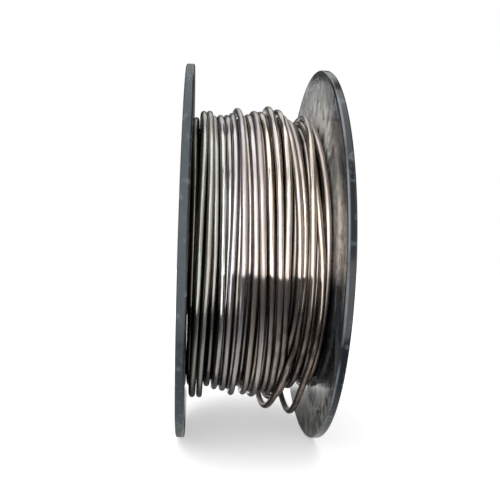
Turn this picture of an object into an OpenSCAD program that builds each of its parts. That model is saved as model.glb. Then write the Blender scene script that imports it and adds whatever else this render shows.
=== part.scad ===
// Lead alloy wire wound on a moulded plastic spool.
// The spool stands on the rims of its two flanges. Its axis is X, Z is up, and the
// origin is on the axis, midway between the flanges.

/* [Spool] */
// Diameter of the two flanges
flange_d = 100; // [90:1:140]
// Thickness of each flange
flange_t = 2.2; // [1.6:0.1:4]
// Radius of the rounded edges of the flange rims
rim_edge_r = 0.5; // [0.2:0.1:0.7]
// Clear width between the flanges, where the wire lies
traverse_w = 32.7; // [28:0.1:60]
// Outer diameter of the barrel that the wire is wound on
barrel_d = 36; // [32:1:50]
// Wall of the barrel
barrel_wall = 2.5; // [1.5:0.1:4]
// Diameter of the bore for the spindle
bore_d = 16; // [10:0.5:17]
// Wall of the hub around the bore
hub_wall = 2.5; // [1.5:0.1:3]
// Thickness of the web that joins the hub to the barrel at mid-width
web_t = 2; // [1.5:0.1:4]
// Number of ribs on each side of the web
rib_count = 6; // [3:1:8]
// Thickness of each rib
rib_t = 1.6; // [1.2:0.1:2.4]
// Depth of the rib edges below the outer face of the flange
rib_recess = 1.5; // [0.5:0.1:6]

/* [Wire] */
// Diameter of the wire
wire_d = 1.6; // [1:0.1:2.4]
// Diameter over the lowest turns of the outer layer
wind_d = 75; // [60:0.5:78]
// Spacing of the turns, as a multiple of the wire diameter
turn_spread = 1.06; // [1.02:0.01:1.3]
// How far the highest turn of the outer layer rides above the lowest
turn_ride = 1.2; // [0.4:0.1:1.4]
// Gap between the winding and the spool
wind_gap = 0.1; // [0.05:0.01:0.3]

/* [Slack turns] */
// Which turn of the outer layer the first slack turn is, counted from the right flange
slack_a_place = 4; // [4:1:6]
// Drop of the first slack turn below the winding
slack_a_drop = 4; // [2.5:0.1:6]
// How far the lowest point of the first slack turn leans away from the right flange
slack_a_lean = 6.8; // [4:0.1:8]
// Which turn of the outer layer the second slack turn is, counted from the right flange
slack_b_place = 2; // [2:1:3]
// Drop of the second slack turn below the winding
slack_b_drop = 5.3; // [2.5:0.1:7]
// How far the lowest point of the second slack turn leans away from the right flange
slack_b_lean = 2.4; // [0:0.1:3]
// Angle to each side of its lowest point over which a slack turn leaves the winding
slack_span = 95; // [60:5:120]
// Gap between a slack turn and the turns that it lies on
slack_gap = 0.1; // [0.05:0.01:0.3]

/* [Hidden] */
$fn = 96;

spool_w = traverse_w + 2 * flange_t;
flange_r = flange_d / 2;
barrel_r = barrel_d / 2;
barrel_inner_r = barrel_r - barrel_wall;
bore_r = bore_d / 2;
hub_r = bore_r + hub_wall;
rib_seat = min(hub_wall, barrel_wall) / 2;

wire_r = wire_d / 2;
wind_r = wind_d / 2;
centre_r = wind_r - wire_r;
wind_w = traverse_w - 2 * wind_gap;
turns = floor(wind_w / (wire_d * turn_spread));
turn_pitch = wind_w / turns;
// The turn that rides highest changes along the spool in steps of the golden angle.
golden_angle = 137.5;
function turn_lift(i) = turn_ride * (1 + sin(golden_angle * i)) / 2;
function turn_x(i) = -wind_w / 2 + turn_pitch * (i + 0.5);
function turn_r(i) = centre_r + turn_lift(i);
// The slack turns leave their places in the outer layer open, down to the layer below, which is
// nested between the turns of the outer one.
slack_places = [turns - slack_a_place, turns - slack_b_place];
laid_turns = [for (i = [0 : turns - 1]) if (i != slack_places[0] && i != slack_places[1]) i];
under_r = centre_r - sqrt(wire_d * wire_d - turn_pitch * turn_pitch / 4);
under_x = [for (i = slack_places, side = [-1, 1]) turn_x(i) + side * turn_pitch / 2];
// Smallest radius at which a slack turn clears the winding, at a place along the axis.
slack_reach = wire_d + slack_gap;
surface_turns = concat([for (i = laid_turns) [turn_x(i), turn_r(i)]], [for (x = under_x) [x, under_r]]);
function rest_r(x) = max([
    for (turn = surface_turns)
        let (off = abs(turn.x - x))
            off < slack_reach ? turn.y + sqrt(slack_reach * slack_reach - off * off) : 0
]);
// The lean of a slack turn starts after it has begun to leave the winding, and comes to its most
// a little past the lowest point.
lean_span = 0.8 * slack_span;
lean_trail = 10;
ring_count = 72;
ring_sides = 10;

spool_black = [0.17, 0.19, 0.2];
lead_grey = [0.62, 0.6, 0.57];

// Turns a profile, drawn with its radius along X and its place along the axis on Y, about the X axis.
module turned() {
    rotate([0, 90, 0]) rotate_extrude() children();
}

// A flange's section: square at the barrel, with rounded edges at the rim.
module flange_section() {
    translate([barrel_inner_r, 0]) square([flange_r - rim_edge_r - barrel_inner_r, flange_t]);
    translate([flange_r - 2 * rim_edge_r, rim_edge_r]) square([2 * rim_edge_r, flange_t - 2 * rim_edge_r]);
    for (edge = [rim_edge_r, flange_t - rim_edge_r])
        translate([flange_r - rim_edge_r, edge]) circle(r = rim_edge_r);
}

// A tube's section over the whole width of the spool.
module tube_section(inner_r, outer_r) {
    translate([inner_r, -spool_w / 2]) square([outer_r - inner_r, spool_w]);
}

module spool_section() {
    for (flip = [0, 1])
        mirror([0, flip]) translate([0, traverse_w / 2]) flange_section();
    tube_section(barrel_inner_r, barrel_r);
    tube_section(bore_r, hub_r);
    translate([hub_r - rib_seat, -web_t / 2])
        square([barrel_inner_r - hub_r + 2 * rib_seat, web_t]);
}

// Ribs run from the hub to the barrel, in both pockets, from the web to just below the flange's face.
module ribs() {
    rib_w = spool_w - 2 * rib_recess;
    for (i = [0 : rib_count - 1])
        rotate([360 * i / rib_count, 0, 0])
            translate([-rib_w / 2, -rib_t / 2, hub_r - rib_seat])
                cube([rib_w, rib_t, barrel_inner_r - hub_r + 2 * rib_seat]);
}

module spool() {
    color(spool_black) {
        turned() spool_section();
        ribs();
    }
}

// The winding's section: the hidden layers are solid, and the outer layer shows each turn as its own round.
module winding_section() {
    translate([barrel_r + wind_gap, -wind_w / 2]) square([under_r - barrel_r - wind_gap, wind_w]);
    for (i = laid_turns)
        translate([0, turn_x(i)]) {
            translate([under_r, -turn_pitch / 2]) square([centre_r - under_r, turn_pitch]);
            translate([centre_r, -wire_r]) square([turn_lift(i), wire_d]);
            translate([turn_r(i), 0]) circle(r = wire_r);
        }
    for (x = under_x) translate([under_r, x]) circle(r = wire_r);
}

module wire_winding() {
    color(lead_grey) turned() winding_section();
}

// Share of the most that a slack turn departs, at an angle from where it departs most.
function hang(angle, span) = abs(angle) < span ? (1 + cos(180 * angle / span)) / 2 : 0;

function unit(v) = v / norm(v);

// A slack turn lies in its place in the outer layer, over the top and down both sides, and hangs below the
// winding. Angles run from the top down the front.
module slack_turn(place, drop, lean) {
    seat_x = turn_x(turns - place);
    seat_r = rest_r(seat_x);
    low_r = wind_r + turn_ride + drop - wire_r;
    function route(angle) =
        let (
            x = seat_x - lean * hang(angle - 180 - lean_trail, lean_span),
            r = max(rest_r(x), seat_r + (low_r - seat_r) * hang(angle - 180, slack_span))
        )
            [x, -r * sin(angle), r * cos(angle)];
    function ring(angle) =
        let (
            step = 360 / ring_count,
            ahead = unit(route(angle + step) - route(angle - step)),
            side = unit([1, 0, 0] - ahead.x * ahead),
            out = cross(ahead, side)
        )
            [for (j = [0 : ring_sides - 1])
                route(angle) + wire_r * (cos(360 * j / ring_sides) * side + sin(360 * j / ring_sides) * out)];
    function corner(i, j) = (i % ring_count) * ring_sides + j % ring_sides;
    polyhedron(
        points = [for (i = [0 : ring_count - 1]) each ring(360 * i / ring_count)],
        faces = [
            for (i = [0 : ring_count - 1], j = [0 : ring_sides - 1])
                [corner(i, j), corner(i, j + 1), corner(i + 1, j + 1), corner(i + 1, j)]
        ]
    );
}

module slack_turns() {
    color(lead_grey) {
        slack_turn(slack_a_place, slack_a_drop, slack_a_lean);
        slack_turn(slack_b_place, slack_b_drop, slack_b_lean);
    }
}

spool();
wire_winding();
slack_turns();
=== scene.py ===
import math

import bmesh
import bpy
import numpy as np
from mathutils import Matrix, Vector


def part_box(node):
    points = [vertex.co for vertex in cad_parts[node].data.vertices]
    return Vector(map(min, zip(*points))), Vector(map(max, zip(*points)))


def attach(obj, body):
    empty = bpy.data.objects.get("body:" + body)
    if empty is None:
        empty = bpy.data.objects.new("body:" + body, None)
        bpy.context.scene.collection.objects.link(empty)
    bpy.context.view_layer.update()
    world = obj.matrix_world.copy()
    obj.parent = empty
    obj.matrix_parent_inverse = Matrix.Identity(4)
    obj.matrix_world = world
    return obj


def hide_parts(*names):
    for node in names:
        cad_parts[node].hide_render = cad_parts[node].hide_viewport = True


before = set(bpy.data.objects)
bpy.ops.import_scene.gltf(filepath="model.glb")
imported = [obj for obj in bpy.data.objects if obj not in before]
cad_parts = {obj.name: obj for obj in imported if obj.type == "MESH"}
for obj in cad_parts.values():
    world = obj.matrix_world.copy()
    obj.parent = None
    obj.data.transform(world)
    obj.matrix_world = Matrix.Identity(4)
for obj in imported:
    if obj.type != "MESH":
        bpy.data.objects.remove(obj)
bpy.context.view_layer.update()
scene = bpy.context.scene
scene.view_settings.view_transform = "Standard"

# The spool's own sizes, in millimetres apart from the floor's height.
mm = 0.001
windGap = 0.1  # between the winding and the flanges
spoolLow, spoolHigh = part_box("spool")
flangeRadius = spoolHigh.z / mm
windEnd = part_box("wire_winding")[1].x / mm
innerFace = windEnd + windGap
floorHeight = spoolLow.z


# Camera

cameraSet = {
    "place": (-0.0148, -0.1829, -0.0026),  # left of the middle, about level with the axis
    "yaw": 4.73,  # degrees to the right
    "pitch": 0.99,  # degrees upwards
    "roll": 1.58,  # degrees anticlockwise
    "lens": 47.12,
    "sensor": 36.0,
    "clipStart": 0.005,
}


def makeCamera():
    data = bpy.data.cameras.new("camera")
    data.lens = cameraSet["lens"]
    data.sensor_width = cameraSet["sensor"]
    data.clip_start = cameraSet["clipStart"]
    camera = bpy.data.objects.new("camera", data)
    scene.collection.objects.link(camera)
    turn = (
        Matrix.Rotation(-math.radians(cameraSet["yaw"]), 4, "Z")
        @ Matrix.Rotation(math.radians(90 + cameraSet["pitch"]), 4, "X")
        @ Matrix.Rotation(math.radians(cameraSet["roll"]), 4, "Z")
    )
    camera.matrix_world = Matrix.Translation(cameraSet["place"]) @ turn
    scene.camera = camera


makeCamera()
print("camera placed")


# Winding. Lengths in its settings are in millimetres, angles in degrees above level on the front.

wireSet = {
    "diameter": 1.6,
    "roundness": 5,
    "stepsPerTurn": 128,
    "highAngle": 50,  # where each outer turn has a station, besides level with the axis
    "lowAngle": -60,
    "rideAngle": 80,
    "backAngle": -180,
    "backStray": 0.4,  # how far a turn strays on the back
    "rounding": 36,  # smoothing passes on the way between two stations
    "spacing": 1.01,  # least distance between the middles of two turns, in diameters
    "neighbours": 3,  # how many turns further on a turn is kept clear of
    "settling": 80,  # passes that part the turns
    "settleRounding": 2,  # smoothing passes in each of them
    "climbTurns": 0.5,  # how much of a layer's end climbs to the next layer
    "wanderRounding": 400,  # smoothing passes on the wander of a neat layer
    "waver": {"rounding": 60, "reach": 0.1},  # slow bends along the wire
    "kinks": {"rounding": 8, "reach": 0.015},  # quick ones
    "endTurns": 0.25,  # left out at the free end, so that it is tucked in on the back
    "sharedSteps": 2,  # how far the outer turns run on into the slack length
    "seed": 7,
}

# The two layers below the outer one. Their radii go to the middle of the wire.
underSet = {
    "radius": 34.3,
    "lift": 4.0,  # the most that it swells to carry a high turn
    "pitch": 1.7,
    "direction": -1,  # from the right flange to the left one
    "wander": 0.25,  # how far a turn strays from its even place
    "seed": 3,
}
deepSet = {"radius": 32.9, "pitch": 1.66, "direction": 1, "wander": 0.1, "seed": 5}

# Each outer turn from left to right: its place along the axis high on the front, level with the axis
# and low on the front, then how far it rides up over the turns below it at the top and at the bottom.
outerTurns = [
    (-15.5, -15.5, -15.5, 0.0, 0.4),
    (-13.4, -13.9, -15.0, 1.6, 3.6),
    (-11.8, -12.0, -13.1, 1.8, 3.4),
    (-10.8, -10.3, -11.2, 0.8, 0.4),
    (-9.2, -8.5, -9.1, 1.1, 1.2),
    (-7.5, -7.5, -8.0, 0.9, 0.4),
    (-6.1, -6.4, -7.0, 1.5, 1.8),
    (-4.3, -4.3, -4.8, 2.8, 2.7),
    (-3.2, -2.8, -3.0, 1.2, 0.4),
    (-2.1, -1.4, -1.4, 1.4, 2.7),
    (-0.5, 0.0, 1.1, 2.2, 3.1),
    (1.5, 2.1, 3.5, 2.2, 2.0),
    (3.3, 3.9, 5.3, 3.6, 2.2),
    (5.9, 5.9, 6.6, 3.0, 2.2),
    (7.4, 8.6, 8.0, 1.6, 1.4),
    (8.8, 10.3, 6.6, 0.2, 7.0),
    (12.1, 11.7, 10.7, 1.1, 1.0),
    (12.5, 13.8, 12.2, 0.0, 8.0),
    (14.2, 15.4, 15.2, 0.6, 0.5),
]
# More places of single turns, as angle and value, where they cross, lean or hang.
strayPlaces = {
    14: [(-40, 8.2), (-85, 5.8), (-100, 4.9), (-130, 4.6)],
    15: [(-20, 10.0), (-40, 8.2), (-95, 4.6), (-130, 3.9)],
    16: [(85, 13.3), (20, 11.6), (-15, 12.3)],
    17: [(85, 12.4), (25, 12.4), (10, 13.4), (-15, 14.1), (-40, 13.4), (-95, 12.2), (-130, 10.8)],
    18: [(20, 15.2)],
}
# Rides of single turns in the same form, which take the place of their two rides above.
strayRides = {
    4: [(80, 1.1), (0, 0.8), (-10, 0.9), (-26, 2.5), (-40, 2.7), (-60, 1.6), (-80, 1.2), (-180, 1.0)],
    14: [(80, 1.6), (0, 1.5), (-40, 1.4), (-60, 2.2), (-90, 4.6), (-130, 2.6), (-180, 0.9)],
    15: [(0, 0.2), (-20, 0.4), (-40, 1.9), (-60, 3.3), (-92, 8.0), (-130, 3.5), (-180, 0.8)],
    16: [(80, 1.1), (45, 1.7), (15, 1.6), (-10, 0.8), (-80, 1.0)],
    17: [(80, 0.0), (20, 0.2), (0, 1.4), (-15, 3.0), (-40, 3.2), (-60, 3.2), (-92, 10.4), (-130, 4.5),
         (-180, 0.8)],
}
slackFrom = 15  # the turns from here on are the slack length


def smoothAlong(values, passes):
    for _ in range(passes):
        padded = np.concatenate([values[:1], values, values[-1:]])
        values = (padded[:-2] + 2 * padded[1:-1] + padded[2:]) / 4
    return values


def layNeatTurns(layer):
    # an even layer that runs from one flange to the other
    dice = np.random.default_rng(layer["seed"])
    room = windEnd - wireSet["diameter"] / 2 - layer["wander"]
    count = int(2 * room / layer["pitch"])
    share = np.linspace(-1, 1, count * wireSet["stepsPerTurn"])
    stray = smoothAlong(dice.normal(0, 1, len(share)), wireSet["wanderRounding"])
    x = layer["direction"] * room * share + stray * layer["wander"] / np.abs(stray).max()
    return x, np.full(len(x), layer["radius"])


def alongTurns(stations):
    # values at every step of the outer turns, from stations of turn number, angle and value
    shares = sorted((turn + (90 - angle) / 360, value) for turn, angle, value in stations)
    steps = np.arange(len(outerTurns) * wireSet["stepsPerTurn"]) / wireSet["stepsPerTurn"]
    return smoothAlong(np.interp(steps, *zip(*shares)), wireSet["rounding"])


def layOuterTurns():
    dice = np.random.default_rng(wireSet["seed"])
    high, low = wireSet["highAngle"], wireSet["lowAngle"]
    ride, back = wireSet["rideAngle"], wireSet["backAngle"]
    places, rides = [], []
    for i, (placeHigh, placeLevel, placeLow, rideTop, rideUnder) in enumerate(outerTurns):
        after = outerTurns[min(i + 1, len(outerTurns) - 1)]
        placeBack = (placeLow + after[0]) / 2 + dice.uniform(-1, 1) * wireSet["backStray"]
        places += [(i, high, placeHigh), (i, 0, placeLevel), (i, low, placeLow), (i, back, placeBack)]
        places += [(i, *stray) for stray in strayPlaces.get(i, [])]
        if i in strayRides:
            rides += [(i, *stray) for stray in strayRides[i]]
        else:
            rides += [(i, ride, rideTop), (i, 0, (rideTop + rideUnder) / 2)]
            rides += [(i, -ride, rideUnder), (i, back, (rideUnder + after[3]) / 2)]
    nested = wireSet["diameter"] * math.sqrt(3) / 2  # a turn lies in the groove between two others
    return alongTurns(places), underSet["radius"] + nested + alongTurns(rides)


def climb(x, r, nextX, nextR):
    # the end of a layer moves over to where the next layer starts
    way = np.linspace(0, 1, int(wireSet["climbTurns"] * wireSet["stepsPerTurn"]))
    share = np.concatenate([np.zeros(len(x) - len(way)), way * way * (3 - 2 * way)])
    return x + share * (nextX - x[-1]), r + share * (nextR - r[-1])


def settle(x, r, underX, underR):
    # pushes turns apart where they would cut into each other, and lifts them off the layer below
    steps, passes = wireSet["stepsPerTurn"], wireSet["settleRounding"]
    gap = wireSet["diameter"] * wireSet["spacing"]
    limit = windEnd - wireSet["diameter"] / 2
    tiny = 1e-6  # so that nothing is divided by nought
    x, r = x.reshape(-1, steps), r.reshape(-1, steps)
    under = list(zip(underX.reshape(-1, steps), underR.reshape(-1, steps)))
    for _ in range(wireSet["settling"]):
        moveX, moveR = np.zeros_like(x), np.zeros_like(r)
        for apart in range(1, wireSet["neighbours"] + 1):
            dx, dr = x[apart:] - x[:-apart], r[apart:] - r[:-apart]
            far = np.maximum(np.hypot(dx, dr), tiny)
            push = np.maximum(gap - far, 0) / 2 / far
            moveX[apart:] += push * dx
            moveX[:-apart] -= push * dx
            moveR[apart:] += push * dr
            moveR[:-apart] -= push * dr
        for turnX, turnR in under:
            off = np.abs(x - turnX)
            rest = np.sqrt(np.maximum(gap * gap - off * off, 0)) + turnR
            moveR = np.where(off < gap, np.maximum(moveR, rest - r), moveR)
        x = np.clip(x + smoothAlong(moveX.ravel(), passes).reshape(x.shape), -limit, limit)
        r = r + smoothAlong(moveR.ravel(), passes).reshape(r.shape)
    return x.ravel(), r.ravel()


def swellUnder(under, x, r):
    # lifts the layer below until it carries the turns that ride high above it
    steps, gap = wireSet["stepsPerTurn"], wireSet["diameter"]
    low, high = underSet["radius"], underSet["radius"] + underSet["lift"]
    under = under.reshape(-1, steps)
    room = np.full(under.shape, high)
    for turnX, turnR in zip(x.reshape(-1, steps), r.reshape(-1, steps)):
        off = np.abs(under - turnX)
        rest = turnR - np.sqrt(np.maximum(gap * gap - off * off, 0))
        room = np.where(off < gap, np.minimum(room, rest), room)
    room = np.where(room == high, low, np.maximum(room, low)).ravel()
    return np.minimum(smoothAlong(room, wireSet["rounding"]), room)


def bendWire(x, r):
    # the small bends of wire that has been handled
    dice = np.random.default_rng(wireSet["seed"])
    for kind in ("waver", "kinks"):
        bend = smoothAlong(dice.normal(0, 1, (len(x), 2)), wireSet[kind]["rounding"])
        bend *= wireSet[kind]["reach"] / bend.std()
        x, r = x + bend[:, 0], r + bend[:, 1]
    return x, r


def drawWire(name, x, r):
    # every wire starts at the top and goes down the front
    angle = math.pi / 2 - 2 * math.pi * np.arange(len(x)) / wireSet["stepsPerTurn"]
    points = np.stack([x * mm, -r * np.cos(angle) * mm, r * np.sin(angle) * mm, np.ones(len(x))], 1)
    curve = bpy.data.curves.new(name, "CURVE")
    curve.dimensions = "3D"
    curve.bevel_depth = wireSet["diameter"] / 2 * mm
    curve.bevel_resolution = wireSet["roundness"]
    curve.use_fill_caps = True
    spline = curve.splines.new("POLY")
    spline.points.add(len(points) - 1)
    spline.points.foreach_set("co", points.ravel())
    wire = bpy.data.objects.new(name, curve)
    scene.collection.objects.link(wire)
    return wire


underX, underR = layNeatTurns(underSet)
deepX, deepR = layNeatTurns(deepSet)
startX, startR = layOuterTurns()
outerX, outerR = settle(startX, startR, *climb(underX, underR, startX[0], startR[0]))
underR = swellUnder(underX, outerX, outerR)
outerX, outerR = bendWire(outerX, outerR)
underX, underR = climb(underX, underR, outerX[0], outerR[0])
deepX, deepR = climb(deepX, deepR, underX[0], underR[0])

firstSlack = slackFrom * wireSet["stepsPerTurn"]
lastOuter = firstSlack + wireSet["sharedSteps"]
lastSlack = len(outerX) - int(wireSet["endTurns"] * wireSet["stepsPerTurn"])
outerWire = drawWire("outer_turns", outerX[:lastOuter], outerR[:lastOuter])
slackWire = drawWire("slack_strands", outerX[firstSlack:lastSlack], outerR[firstSlack:lastSlack])
underWire = drawWire("under_turns", np.append(underX, outerX[0]), np.append(underR, outerR[0]))
deepWire = drawWire("deep_turns", np.append(deepX, underX[0]), np.append(deepR, underR[0]))
print("wire wound:", len(outerX), "steps")


# Materials. A zone is a length from aboutAxis, where the zone starts and where it is full, in millimetres.

whole = (0.0, 1.0)
numberSocket = "NodeSocketFloat"
vectorSocket = "NodeSocketVector"


def addNode(tree, kind, inputs=None, **settings):
    node = tree.nodes.new(kind)
    for key, value in settings.items():
        setattr(node, key, value)
    for key, value in (inputs or {}).items():
        if isinstance(value, bpy.types.NodeSocket):
            tree.links.new(value, node.inputs[key])
        else:
            node.inputs[key].default_value = value
    return node


def math2(tree, operation, a, b=0.0):
    return addNode(tree, "ShaderNodeMath", {0: a, 1: b}, operation=operation).outputs[0]


def times(tree, a, b):
    return math2(tree, "MULTIPLY", a, b)


def plus(tree, a, b):
    return math2(tree, "ADD", a, b)


def minus(tree, a, b):
    return math2(tree, "SUBTRACT", a, b)


def vector2(tree, operation, a, inputs=None):
    return addNode(tree, "ShaderNodeVectorMath", {0: a} | (inputs or {}), operation=operation).outputs


def rangeOf(tree, value, limits, results=whole):
    # eases from one result to the other while the value goes from one limit to the other
    inputs = {"Value": value, "From Min": limits[0], "From Max": limits[1]}
    inputs |= {"To Min": results[0], "To Max": results[1]}
    return addNode(tree, "ShaderNodeMapRange", inputs, interpolation_type="SMOOTHSTEP").outputs[0]


def noiseOf(tree, place, scale, detail, rough, swirl=0.0):
    inputs = {"Vector": place, "Scale": scale, "Detail": detail, "Roughness": rough, "Distortion": swirl}
    return addNode(tree, "ShaderNodeTexNoise", inputs).outputs["Fac"]


def mixValue(tree, share, a, b):
    return addNode(tree, "ShaderNodeMix", {"Factor": share, "A": a, "B": b}).outputs[0]


def mixColor(tree, share, a, b):
    # 6, 7 and 2 are the colour sockets of a Mix node
    return addNode(tree, "ShaderNodeMix", {0: share, 6: a, 7: b}, data_type="RGBA").outputs[2]


def startGroup(name, inputs, outputs):
    tree = bpy.data.node_groups.new(name, "ShaderNodeTree")
    for way, sockets in (("INPUT", inputs), ("OUTPUT", outputs)):
        for socket, kind in sockets.items():
            tree.interface.new_socket(socket, in_out=way, socket_type=kind)
    return tree, addNode(tree, "NodeGroupInput").outputs


def axisGroup():
    # where a place is in millimetres: along the axis, away from it, above it and behind it, and the
    # direction outwards from it
    outputs = dict.fromkeys(("Along", "Radius", "Height", "Behind"), numberSocket)
    tree, source = startGroup("aboutAxis", {"Place": vectorSocket}, outputs | {"Outwards": vectorSocket})
    parts = addNode(tree, "ShaderNodeSeparateXYZ", {0: source["Place"]}).outputs
    flat = addNode(tree, "ShaderNodeCombineXYZ", {"Y": parts["Y"], "Z": parts["Z"]}).outputs[0]
    addNode(tree, "NodeGroupOutput", {
        "Along": times(tree, parts["X"], 1 / mm),
        "Radius": times(tree, vector2(tree, "LENGTH", flat)["Value"], 1 / mm),
        "Height": times(tree, parts["Z"], 1 / mm),
        "Behind": times(tree, parts["Y"], 1 / mm),
        "Outwards": vector2(tree, "NORMALIZE", flat)[0],
    })
    return tree


def streakGroup():
    # noise with its own scale along the axis, outwards and round the spool
    numbers = ("Along", "Radius", "Along Scale", "Radius Scale", "Turn Scale", "Detail", "Roughness")
    inputs = dict.fromkeys(numbers, numberSocket) | {"Outwards": vectorSocket}
    tree, source = startGroup("streaks", inputs, {"Fac": numberSocket})
    along = times(tree, source["Along"], source["Along Scale"])
    across = plus(tree, along, times(tree, source["Radius"], source["Radius Scale"]))
    offset = addNode(tree, "ShaderNodeCombineXYZ", {"X": across}).outputs[0]
    circle = vector2(tree, "SCALE", source["Outwards"], {"Scale": source["Turn Scale"]})[0]
    place = vector2(tree, "ADD", circle, {1: offset})[0]
    noise = noiseOf(tree, place, 1.0, source["Detail"], source["Roughness"])
    addNode(tree, "NodeGroupOutput", {"Fac": noise})
    return tree


aboutAxis = axisGroup()
streaks = streakGroup()


def streakNoise(tree, axis, along, radius, turn, detail, rough):
    inputs = {name: axis[name] for name in ("Along", "Radius", "Outwards")}
    inputs |= {"Along Scale": along, "Radius Scale": radius, "Turn Scale": turn}
    inputs |= {"Detail": detail, "Roughness": rough}
    return addNode(tree, "ShaderNodeGroup", inputs, node_tree=streaks).outputs["Fac"]


def zoneOf(tree, axis, zone, results=whole):
    length, start, full = zone
    return rangeOf(tree, axis[length], (start, full), results)


def blankMaterial(name):
    material = bpy.data.materials.new(name)
    material.use_nodes = True
    tree = material.node_tree
    tree.nodes.clear()
    return material, tree, addNode(tree, "ShaderNodeTexCoord").outputs


def startMaterial(name):
    material, tree, places = blankMaterial(name)
    axis = addNode(tree, "ShaderNodeGroup", {"Place": places["Object"]}, node_tree=aboutAxis).outputs
    shader = addNode(tree, "ShaderNodeBsdfPrincipled")
    addNode(tree, "ShaderNodeOutputMaterial", {"Surface": shader.outputs[0]})
    return material, tree, places, axis, shader


def setBump(tree, shader, settings, relief):
    inputs = {"Strength": settings["strength"], "Distance": settings["distance"], "Height": relief}
    tree.links.new(addNode(tree, "ShaderNodeBump", inputs).outputs[0], shader.inputs["Normal"])


leadSet = {
    "colors": {
        "edge": (0.16, 0.16, 0.12, 1),  # painted shade on the first turn, beside the left flange
        # the leftmost turns: painted shade below mid-height, lighter above
        "left": (0.34, 0.36, 0.31, 1),
        "leftHigh": (0.60, 0.64, 0.57, 1),
        "middle": (0.64, 0.64, 0.63, 1),
        "right": (0.79, 0.72, 0.65, 1),
        "end": (0.52, 0.45, 0.39, 1),  # the last turns, beside the right flange
        "violet": (0.60, 0.55, 0.62, 1),
        "cream": (0.80, 0.70, 0.52, 1),
        "brown": (0.30, 0.22, 0.17, 1),  # painted shade low on the right, browner than the rest
        "spots": (0.07, 0.058, 0.05, 1),  # darker spots in that painted shade
        "dull": (0.34, 0.28, 0.24, 1),
        # painted shade deep in the valleys between the turns
        "valleyShade": (0.04, 0.036, 0.032, 1),
        "flankShade": (0.06, 0.055, 0.052, 1),  # painted shade on the sides of each turn, which face its neighbours
        "flankShadeWarm": (0.28, 0.22, 0.18, 1),  # the same painted shade at the right, below the top
    },
    "shares": {
        "violet": 0.5,
        "cream": 0.6,
        "brown": 0.75,
        "spots": 0.8,
        "dull": 0.6,
        "drawn": 0.4,
        "flankShade": 0.9,
    },
    "zones": {
        "leftHigh": ("Height", 4.0, 26.0),
        "left": ("Along", -15.2, -14.4),
        "middle": ("Along", -14.0, -8.0),
        "right": ("Along", -7.0, 2.0),
        "end": ("Along", 9.0, 15.0),
        "violet": ("Along", -10.0, -6.0),
        "cream": ("Along", -8.0, -3.0),
        "brownLow": ("Height", -8.0, -22.0),
        "brownRight": ("Along", 1.0, 8.0),
        "valleyShadeUnder": ("Height", -6.0, -20.0),
        "valleyShadeRight": ("Along", 8.0, 10.5),
        "flankUnder": ("Height", -8.0, -20.0),
        "warmRight": ("Along", -6.0, 2.0),
        "warmBelow": ("Height", 26.0, 14.0),
        "warmEnd": ("Along", 9.0, 12.0),
        "warmAbove": ("Height", -16.0, -6.0),
    },
    "streaks": {  # scale along the axis, outwards and round the spool, then detail and roughness
        "drawn": (5.0, 5.0, 3.0, 2.0, 0.5),
        "dents": (1.0, 1.0, 12.0, 2.0, 0.5),
        "patches": (0.7, 0.5, 2.2, 4.0, 0.6),
        "perTurn": (0.6, 0.1, 0.4, 1.0, 0.5),
        "cream": (0.9, 0.3, 0.7, 2.0, 0.5),
        "spots": (0.8, 0.8, 9.0, 4.0, 0.65),
    },
    "cuts": {  # from where a streak starts to show to where it shows in full
        "drawn": (0.45, 0.75),
        "patches": (0.42, 0.7),
        "perTurn": (0.35, 0.65),
        "cream": (0.5, 0.68),
        "spots": (0.44, 0.58),
    },
    "valleyShadeRadii": (34.8, 37.4),  # mm from the axis, from full painted shade to none
    "valleyShadeUnder": 0.9,  # mm further out on the under side
    "valleyShadeRight": 1.2,  # mm further in at the right
    "flankSines": (0.68, 0.97),  # of the angle from the crown of the wire
    "flankUnder": 0.22,  # added on the under side
    "metallic": 0.97,
    "roughness": {"clean": 0.09, "patches": 0.22, "drawn": 0.06, "lowRight": 0.1, "perTurn": 0.2},
    "bump": {"strength": 0.3, "distance": 0.0001, "drawn": 0.3},
}


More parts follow.
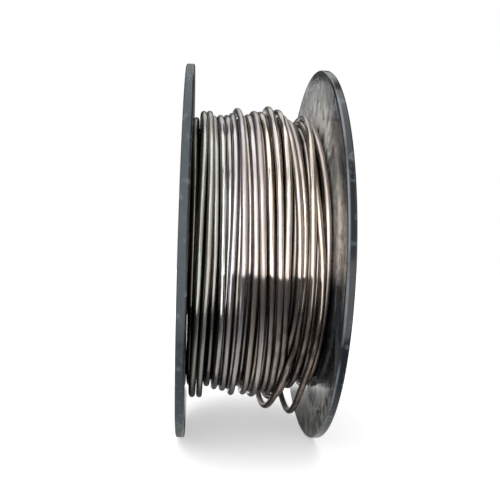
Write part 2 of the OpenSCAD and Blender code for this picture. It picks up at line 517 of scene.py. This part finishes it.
def makeLead():
    material, tree, places, axis, shader = startMaterial("leadWire")
    colors, roughness = leadSet["colors"], leadSet["roughness"]

    def zone(name):
        return zoneOf(tree, axis, leadSet["zones"][name])

    def streak(name):
        return streakNoise(tree, axis, *leadSet["streaks"][name])

    def shown(name):
        return rangeOf(tree, streak(name), leadSet["cuts"][name])

    def partOf(mask, name):
        return times(tree, mask, leadSet["shares"][name])

    drawn = streak("drawn")
    patches = shown("patches")
    perTurn = shown("perTurn")
    # painted shade low on the right, browner, with darker spots; the same place is also rougher
    lowRight = times(tree, zone("brownLow"), zone("brownRight"))
    # the leftmost turns are painted darker below mid-height, as shade
    left = mixColor(tree, zone("leftHigh"), colors["left"], colors["leftHigh"])
    # painted shade on the first turn, beside the left flange
    color = mixColor(tree, zone("left"), colors["edge"], left)
    layers = {  # each lies over the ones before it
        "middle": zone("middle"),
        "right": zone("right"),
        "end": zone("end"),
        "violet": partOf(times(tree, perTurn, zone("violet")), "violet"),
        "cream": partOf(times(tree, shown("cream"), zone("cream")), "cream"),
        "brown": partOf(lowRight, "brown"),
        "spots": partOf(times(tree, shown("spots"), lowRight), "spots"),
        "dull": partOf(patches, "dull"),
    }
    for name, mask in layers.items():
        color = mixColor(tree, mask, color, colors[name])
    lines = partOf(rangeOf(tree, drawn, leadSet["cuts"]["drawn"]), "drawn")
    lined = mixColor(tree, lines, color, colors["dull"])
    # painted shade on the flanks, more on the under side, and warmer at the right
    sideways = addNode(tree, "ShaderNodeSeparateXYZ", {0: places["Normal"]}).outputs["X"]
    deeper = times(tree, zone("flankUnder"), leadSet["flankUnder"])
    fromCrown = plus(tree, math2(tree, "ABSOLUTE", sideways), deeper)
    flankShade = partOf(rangeOf(tree, fromCrown, leadSet["flankSines"]), "flankShade")
    below = math2(tree, "MAXIMUM", zone("warmBelow"), zone("warmEnd"))
    warm = times(tree, zone("warmRight"), times(tree, below, zone("warmAbove")))
    side = mixColor(tree, warm, colors["flankShade"], colors["flankShadeWarm"])
    # painted shade fills the valleys, deepest on the under side and thinnest at the right
    aside = times(tree, zone("valleyShadeRight"), leadSet["valleyShadeRight"])
    under = times(tree, zone("valleyShadeUnder"), leadSet["valleyShadeUnder"])
    depth = minus(tree, plus(tree, axis["Radius"], aside), under)
    clear = rangeOf(tree, depth, leadSet["valleyShadeRadii"])
    valleyShaded = mixColor(tree, clear, colors["valleyShade"], mixColor(tree, flankShade, lined, side))
    tree.links.new(valleyShaded, shader.inputs["Base Color"])
    shader.inputs["Metallic"].default_value = leadSet["metallic"]
    rough = rangeOf(tree, patches, whole, (roughness["clean"], roughness["patches"]))
    for name, mask in (("drawn", drawn), ("lowRight", lowRight), ("perTurn", perTurn)):
        rough = plus(tree, rough, times(tree, mask, roughness[name]))
    tree.links.new(rough, shader.inputs["Roughness"])
    relief = plus(tree, times(tree, drawn, leadSet["bump"]["drawn"]), streak("dents"))
    setBump(tree, shader, leadSet["bump"], relief)
    return material


plasticSet = {
    "colors": {
        "black": (0.014, 0.018, 0.022, 1),
        "dustAndReflection": (0.50, 0.44, 0.39, 1),  # dust and painted reflection on the right inner face, beside the wire
        # paler higher up, as painted reflection
        "dustAndReflectionHigh": (0.78, 0.77, 0.72, 1),
        "haze": (0.55, 0.55, 0.49, 1),  # scuffs on the inner faces, left out of a band below mid-height as painted shade
        "slate": (0.038, 0.052, 0.061, 1),  # the dusty rim of the left flange
        "pale": (0.17, 0.19, 0.21, 1),  # a painted highlight along the right rim, and rubbed specks on both rims
    },
    "shares": {
        "leftFace": 0.1,  # of what the right inner face has
        "scuffsHigh": 0.5,
        "scuffsLow": 1.7,
        "evenLow": 0.2,
        "haze": 0.4,
        "smears": 0.4,
        "strokes": 0.6,
        "dabsFront": 0.25,
        "specks": 0.45,
    },
    "zones": {
        "rim": ("Radius", flangeRadius - 0.9, flangeRadius - 0.3),
        "withinRim": ("Radius", flangeRadius - 1.0, flangeRadius - 5.0),
        "leftRim": ("Along", -innerFace - 0.2, -innerFace - 0.7),
        "rightFace": ("Along", -1.0, 1.0),
        "scuffsHigh": ("Height", -12.0, 14.0),
        "scuffsLow": ("Height", -26.0, -38.0),
        "dustAndReflectionWide": ("Height", 16.0, 4.0),
        "dustAndReflection": ("Height", -9.0, -1.0),
        "dustAndReflectionHigh": ("Height", 8.0, 22.0),
        "dabs": ("Behind", -38.0, -24.0),
    },
    "noise": {  # scale, detail, roughness and swirl
        "cloud": (60.0, 4.0, 0.6, 0.0),
        "grain": (500.0, 3.0, 0.5, 0.0),
        "blotches": (260.0, 6.0, 0.65, 0.3),
        "wisps": (380.0, 5.0, 0.7, 0.5),
        "smears": (205.0, 5.0, 0.6, 0.3),
        "mottle": (280.0, 5.0, 0.7, 0.0),
        "specks": (420.0, 2.0, 0.5, 0.0),
    },
    "strokes": (0.0, 0.12, 10.0, 5.0, 0.6),  # a streak, as on the wire
    "cuts": {  # the range of a noise that is used, and what it becomes
        "blotches": ((0.4, 0.68), whole),
        "wisps": ((0.38, 0.62), (0.4, 1.0)),
        "dabs": ((0.43, 0.57), (0.15, 1.0)),
        "mottle": ((0.3, 0.7), (0.45, 1.4)),
        "specks": ((0.57, 0.72), whole),
        "highlightLine": ((0.35, 0.6), whole),
        "gloss": ((0.3, 0.7), (0.04, 0.09)),
    },
    "faceDepth": 0.05,  # mm into the flange that still count as its inner face
    "outerFace": 1.9,  # mm into the flange where its satin outer face starts
    "dustAndReflectionRadii": (48.5, 41.0),  # mm from the axis, from none of the dust and painted reflection to all of it
    "dustAndReflectionWide": 3.5,  # mm further out at mid-height
    "linePlace": 0.45,  # mm into the flange of the painted highlight line on the right rim
    "lineWidth": (0.35, 0.1),
    "roughness": {"dustAndReflection": 0.3, "outside": 0.22, "rim": 0.1, "dust": 0.3},
    "bump": {"strength": 0.12, "distance": 0.0003, "grain": 0.25, "scuffs": 0.5},
}


def makePlastic():
    material, tree, places, axis, shader = startMaterial("spoolPlastic")
    colors, shares, roughness = plasticSet["colors"], plasticSet["shares"], plasticSet["roughness"]

    def zone(name, results=whole):
        return zoneOf(tree, axis, plasticSet["zones"][name], results)

    def noise(name):
        return noiseOf(tree, places["Object"], *plasticSet["noise"][name])

    def cut(value, name):
        return rangeOf(tree, value, *plasticSet["cuts"][name])

    cloud = noise("cloud")
    rim = zone("rim")
    fromMiddle = math2(tree, "ABSOLUTE", axis["Along"])
    inside = math2(tree, "LESS_THAN", fromMiddle, innerFace + plasticSet["faceDepth"])
    outside = math2(tree, "GREATER_THAN", fromMiddle, innerFace + plasticSet["outerFace"])
    worn = times(tree, inside, zone("rightFace", (shares["leftFace"], 1.0)))
    # scuffs on the inner faces, heaviest on the right one and clear of its rim
    blotches = cut(noise("blotches"), "blotches")
    # between the upper and lower zones the scuffs are left out, as painted shade
    upper = times(tree, zone("scuffsHigh"), zone("withinRim"))
    lower = zone("scuffsLow")
    scuffed = plus(tree, times(tree, upper, shares["scuffsHigh"]), times(tree, lower, shares["scuffsLow"]))
    mottled = plus(tree, blotches, times(tree, lower, shares["evenLow"]))
    haze = times(tree, times(tree, mottled, worn), times(tree, scuffed, shares["haze"]))
    # dust and painted reflection on them above mid-height, grainy beside the wire and in strokes higher up
    fromAxis = minus(tree, axis["Radius"], times(tree, zone("dustAndReflectionWide"), plasticSet["dustAndReflectionWide"]))
    dustAndReflectionArea = times(tree, rangeOf(tree, fromAxis, plasticSet["dustAndReflectionRadii"]), zone("dustAndReflection"))
    strokes = times(tree, streakNoise(tree, axis, *plasticSet["strokes"]), shares["strokes"])
    smears = plus(tree, times(tree, noise("smears"), shares["smears"]), strokes)
    fainter = rangeOf(tree, zone("dabs"), whole, (shares["dabsFront"], 1.0))
    dabs = times(tree, cut(smears, "dabs"), fainter)
    high = zone("dustAndReflectionHigh")
    spread = mixValue(tree, high, cut(noise("wisps"), "wisps"), dabs)
    dustAndReflection = times(tree, times(tree, dustAndReflectionArea, worn), spread)
    # the rims: dusty on the left, with a painted highlight line on the right, and specks on both
    dust = times(tree, times(tree, rim, zone("leftRim")), cut(noise("mottle"), "mottle"))
    offLine = minus(tree, axis["Along"], innerFace + plasticSet["linePlace"])
    nearLine = rangeOf(tree, math2(tree, "ABSOLUTE", offLine), plasticSet["lineWidth"])
    highlightLine = times(tree, times(tree, rim, nearLine), cut(cloud, "highlightLine"))
    specks = times(tree, cut(noise("specks"), "specks"), times(tree, rim, shares["specks"]))
    color = colors["black"]
    layers = (  # each lies over the ones before it
        (dustAndReflection, mixColor(tree, high, colors["dustAndReflection"], colors["dustAndReflectionHigh"])),
        (haze, colors["haze"]),
        (dust, colors["slate"]),
        (highlightLine, colors["pale"]),
        (specks, colors["pale"]),
    )
    for mask, layer in layers:
        color = mixColor(tree, mask, color, layer)
    tree.links.new(color, shader.inputs["Base Color"])
    rough = cut(cloud, "gloss")
    dulls = {"dustAndReflection": times(tree, dustAndReflection, high), "outside": outside, "rim": rim, "dust": dust}
    for name, mask in dulls.items():
        rough = plus(tree, rough, times(tree, mask, roughness[name]))
    tree.links.new(rough, shader.inputs["Roughness"])
    bump = plasticSet["bump"]
    scuffs = times(tree, times(tree, blotches, worn), bump["scuffs"])
    relief = plus(tree, plus(tree, times(tree, noise("grain"), bump["grain"]), cloud), scuffs)
    setBump(tree, shader, bump, relief)
    return material


lead = makeLead()
plastic = makePlastic()
for wire in (outerWire, slackWire, underWire, deepWire):
    wire.data.materials.append(lead)
    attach(wire, "root")
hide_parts("wire_winding")
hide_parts("slack_turns")
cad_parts["spool"].material_slots[0].material = plastic
print("materials set")


# Floor, backdrop and light. Lengths in metres.

white = (1, 1, 1, 1)
floorSet = {
    "size": 6.0,
    "color": (0.85, 0.85, 0.85, 1),
    "fade": (0.06, 0.6),  # from the middle of the spool, over which the floor turns white
    "whiteNear": 0.5,  # how white it is where that starts
    "mirrorFade": (0.075, 0.088),  # the same distances, as reflections show the floor
}


def raySeen(tree):
    path = addNode(tree, "ShaderNodeLightPath").outputs
    mirrored = math2(tree, "MAXIMUM", path["Is Glossy Ray"], path["Is Transmission Ray"])
    return path["Is Camera Ray"], mirrored


def addPlane(name, corners, material):
    shape = bmesh.new()
    shape.faces.new([shape.verts.new(corner) for corner in corners])
    mesh = bpy.data.meshes.new(name)
    shape.to_mesh(mesh)
    shape.free()
    plane = bpy.data.objects.new(name, mesh)
    scene.collection.objects.link(plane)
    mesh.materials.append(material)
    return plane


def uprightCorners(start, end, bottom, top):
    # a card that stands over the line between two places
    return [(*start, bottom), (*end, bottom), (*end, top), (*start, top)]


def levelCorners(start, end, height):
    # a card that lies level between two opposite corners
    return [(*start, height), (end[0], start[1], height), (*end, height), (start[0], end[1], height)]


def stageMaterial(name):
    material, tree, places = blankMaterial(name)
    light = addNode(tree, "ShaderNodeEmission", {"Color": white})
    return material, tree, places["Object"], light


def makeFloor():
    material, tree, place, light = stageMaterial("paleFloor")
    away = vector2(tree, "LENGTH", place)["Value"]
    shown = rangeOf(tree, away, floorSet["fade"], (floorSet["whiteNear"], 1.0))
    reflected = rangeOf(tree, away, floorSet["mirrorFade"])
    direct, mirrored = raySeen(tree)
    strength = plus(tree, times(tree, shown, direct), times(tree, reflected, mirrored))
    tree.links.new(strength, light.inputs["Strength"])
    matt = addNode(tree, "ShaderNodeBsdfDiffuse", {"Color": floorSet["color"]})
    both = addNode(tree, "ShaderNodeAddShader", {0: matt.outputs[0], 1: light.outputs[0]})
    addNode(tree, "ShaderNodeOutputMaterial", {"Surface": both.outputs[0]})
    half = floorSet["size"] / 2
    addPlane("floor", levelCorners((-half, -half), (half, half), floorHeight), material)


worldSet = {
    "light": 0.35,  # on the object
    "seen": 1.0,  # by the camera and in reflections
}


def makeWorld():
    world = bpy.data.worlds.new("studio")
    scene.world = world
    world.use_nodes = True
    tree = world.node_tree
    tree.nodes.clear()
    seen = math2(tree, "MAXIMUM", *raySeen(tree))
    strength = rangeOf(tree, seen, whole, (worldSet["light"], worldSet["seen"]))
    sky = addNode(tree, "ShaderNodeBackground", {"Color": white, "Strength": strength})
    addNode(tree, "ShaderNodeOutputWorld", {"Surface": sky.outputs[0]})


# Each softbox: its place, what it faces, its width and height, and how bright it looks.
softboxSet = {
    "front_softbox": ((-0.53, -0.85, 0.3), (-0.5, 0, 0.05), 1.4, 1.1, 1.6),
    "top_softbox": ((-0.15, -0.1, 0.7), (-0.15, 0, 0), 1.2, 0.8, 1.4),
    "left_strip": ((-0.8, -0.25, 0.15), (0, 0, 0), 0.12, 0.7, 3.0),
}


def makeSoftbox(name, place, target, width, height, brightness):
    data = bpy.data.lights.new(name, "AREA")
    data.shape = "RECTANGLE"
    data.size, data.size_y = width, height
    data.energy = brightness * math.pi * width * height
    lamp = bpy.data.objects.new(name, data)
    scene.collection.objects.link(lamp)
    lamp.location = place
    lamp.rotation_euler = (Vector(target) - Vector(place)).to_track_quat("-Z", "Y").to_euler()
    lamp.visible_camera = False


# Cards that only reflections see, as a photographer sets them round bright metal. A grey of two values
# changes from the first to the second between the two places of its fade.
cardLevel = floorHeight + 0.0005  # just over the floor
rear = 0.5  # where the cards at the back stand
panelRear = 0.498  # and the panel just in front of them
ceiling = 1.2
cardSet = {
    "low_card": {
        "corners": levelCorners((-0.08, -0.012), (0.2, -0.072), cardLevel),
        "fade": ("Y", -0.052, -0.030),
        "grey": (0.08, 0.6),
    },
    "right_card": {"corners": uprightCorners((0.18, -0.85), (1.0, -0.25), -0.05, ceiling), "grey": 0.08},
    "right_reflector": {"corners": uprightCorners((0.34, -0.72), (0.80, -0.38), -0.05, 0.9), "grey": 1.2},
    "back_card": {"corners": uprightCorners((-0.2, rear), (0.2, rear), 0.06, 0.36), "grey": 0.1},
    "back_panel": {
        "corners": uprightCorners((-0.081, panelRear), (-0.061, panelRear), 0.05, 0.19),
        "grey": 1.4,
    },
    "back_strip": {"corners": uprightCorners((-0.2, rear), (0.2, rear), 0.36, ceiling), "grey": 0.8},
    "back_left_card": {"corners": uprightCorners((-1.2, rear), (-0.2, rear), 0.06, ceiling), "grey": 0.05},
    "back_right_card": {"corners": uprightCorners((0.2, rear), (1.2, rear), -0.05, ceiling), "grey": 0.05},
    "left_card": {"corners": uprightCorners((-0.95, -0.55), (-0.95, rear), 0.12, ceiling), "grey": 0.06},
    "right_side_card": {"corners": uprightCorners((1.0, -0.25), (1.0, rear), 0.12, ceiling), "grey": 0.06},
    "ceiling_card": {"corners": levelCorners((-0.95, -0.85), (1.0, rear), ceiling), "grey": 0.1},
    "window_bar": {"corners": levelCorners((-0.6, -0.28), (0.04, -0.23), 0.5), "grey": 0.05},
}

# A dark flag in three parts, close in front of the wire's lower half.
flagSet = {
    "front": -0.0405,
    "bottom": -0.045,
    "fade": ("Z", -0.014, -0.036),
    "grey": (0.05, 0.22),
    "parts": {  # left and right end, and the height of the top edge at each
        "flag": (-0.0066, 0.0122, -0.0064, -0.0073),
        "flag_step": (0.0122, 0.0156, -0.0210, -0.0240),
        "flag_end": (0.0156, 0.0163, -0.0074, -0.0074),
    },
}


def flagCard(left, right, topLeft, topRight):
    front, bottom = flagSet["front"], flagSet["bottom"]
    lower = [(left, front, bottom), (right, front, bottom)]
    upper = [(right, front, topRight), (left, front, topLeft)]
    return {"corners": lower + upper, "fade": flagSet["fade"], "grey": flagSet["grey"]}


def makeCard(name, card):
    material, tree, place, light = stageMaterial(name)
    if "fade" in card:
        axisName, fadeFrom, fadeTo = card["fade"]
        parts = addNode(tree, "ShaderNodeSeparateXYZ", {0: place}).outputs
        fade = rangeOf(tree, parts[axisName], (fadeFrom, fadeTo), card["grey"])
        tree.links.new(fade, light.inputs["Strength"])
    else:
        light.inputs["Strength"].default_value = card["grey"]
    addNode(tree, "ShaderNodeOutputMaterial", {"Surface": light.outputs[0]})
    plane = addPlane(name, card["corners"], material)
    plane.visible_camera = False
    plane.visible_diffuse = False
    plane.visible_shadow = False


makeFloor()
makeWorld()
for name, values in softboxSet.items():
    makeSoftbox(name, *values)
for name, card in cardSet.items():
    makeCard(name, card)
for name, part in flagSet["parts"].items():
    makeCard(name, flagCard(*part))
print("stage set")
